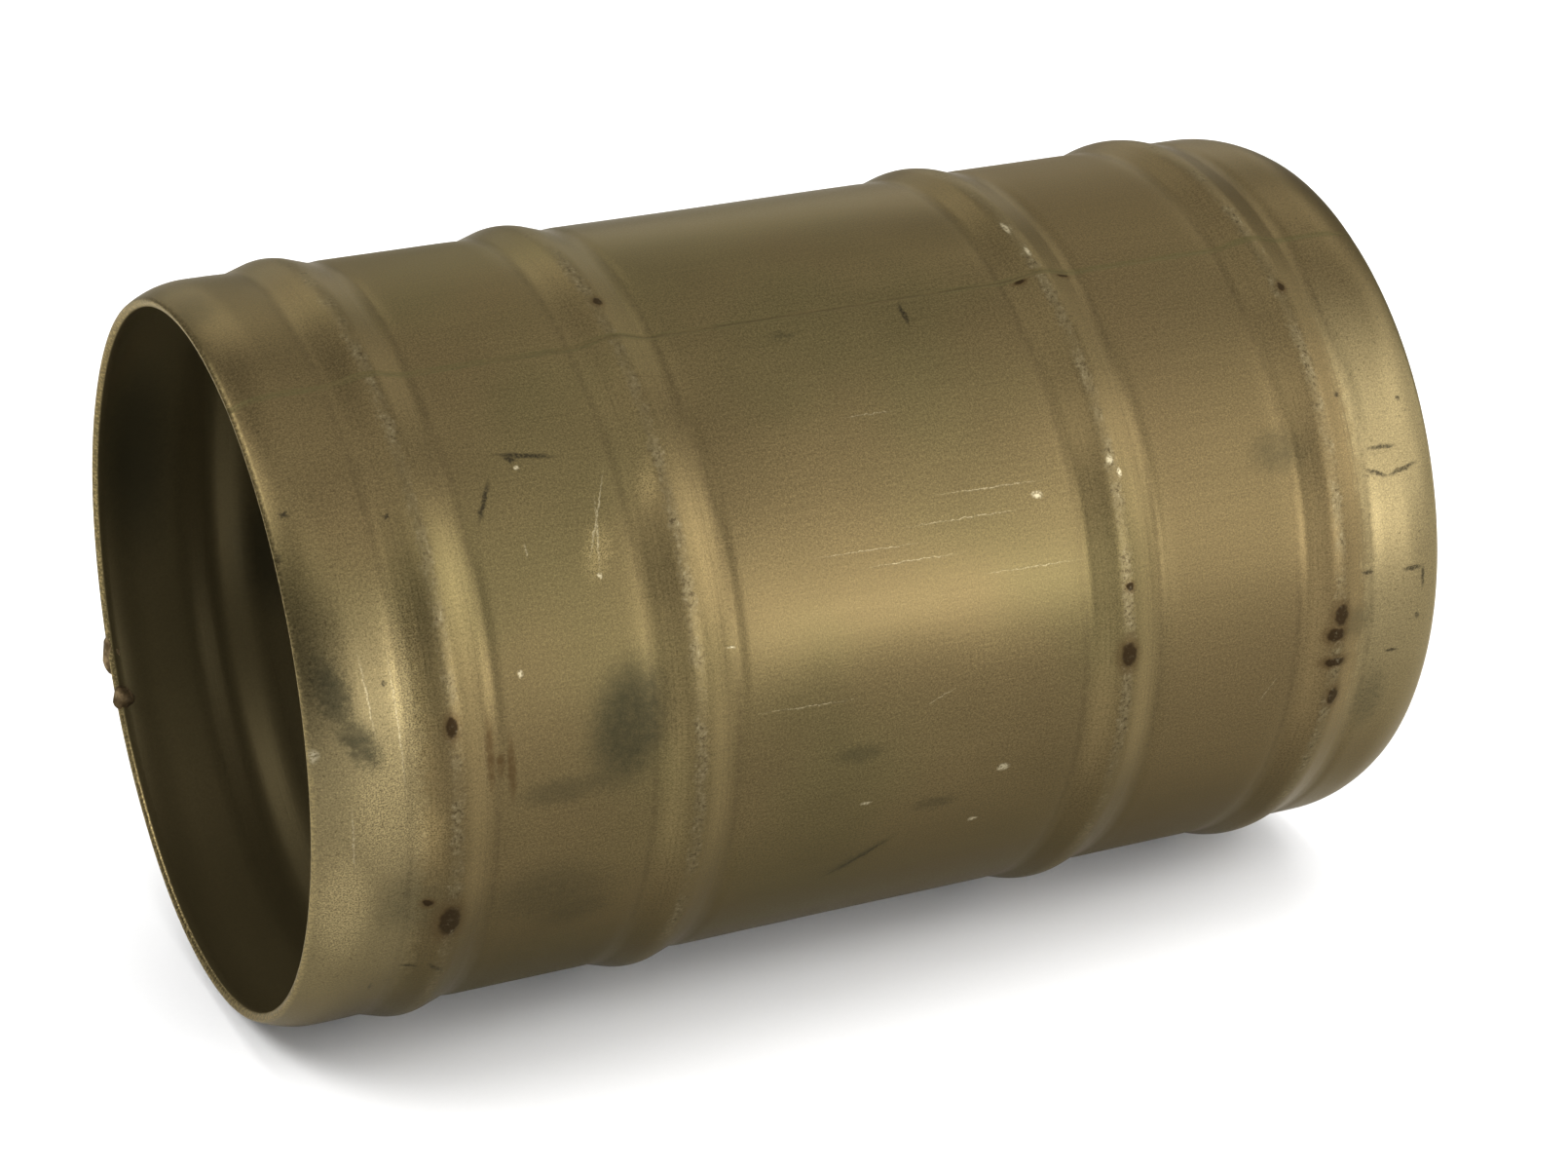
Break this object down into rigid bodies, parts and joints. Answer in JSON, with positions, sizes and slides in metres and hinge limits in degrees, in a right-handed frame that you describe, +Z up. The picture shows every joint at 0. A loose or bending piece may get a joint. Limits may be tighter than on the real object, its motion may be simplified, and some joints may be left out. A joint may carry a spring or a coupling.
{
  "type": "beaded tube joiner",
  "caption": "Short open-ended thin steel tube with low rolled beads towards each end and slightly necked-in rims, for joining hoses or ducts.",
  "frame": {"origin": "on the floor, below the middle of the tube, which lies on its side on the crests of its beads", "axes": "+X along the tube from the rim with the weld lumps to the other rim, +Z up, +Y away from the side that carries the seam"},
  "size_m": [0.248, 0.1556, 0.1557],
  "materials": {
    "sheet_steel": "satin, olive-bronze tint, fine grain, stained and scuffed",
    "weld_metal": "dull, slightly rusted weld metal"
  },
  "bodies": {
    "root": {"tube_wall": "sheet_steel", "seam_weld": "weld_metal", "weld_lump_outer": "weld_metal", "weld_lump_inner": "weld_metal"}
  },
  "joints": []
}
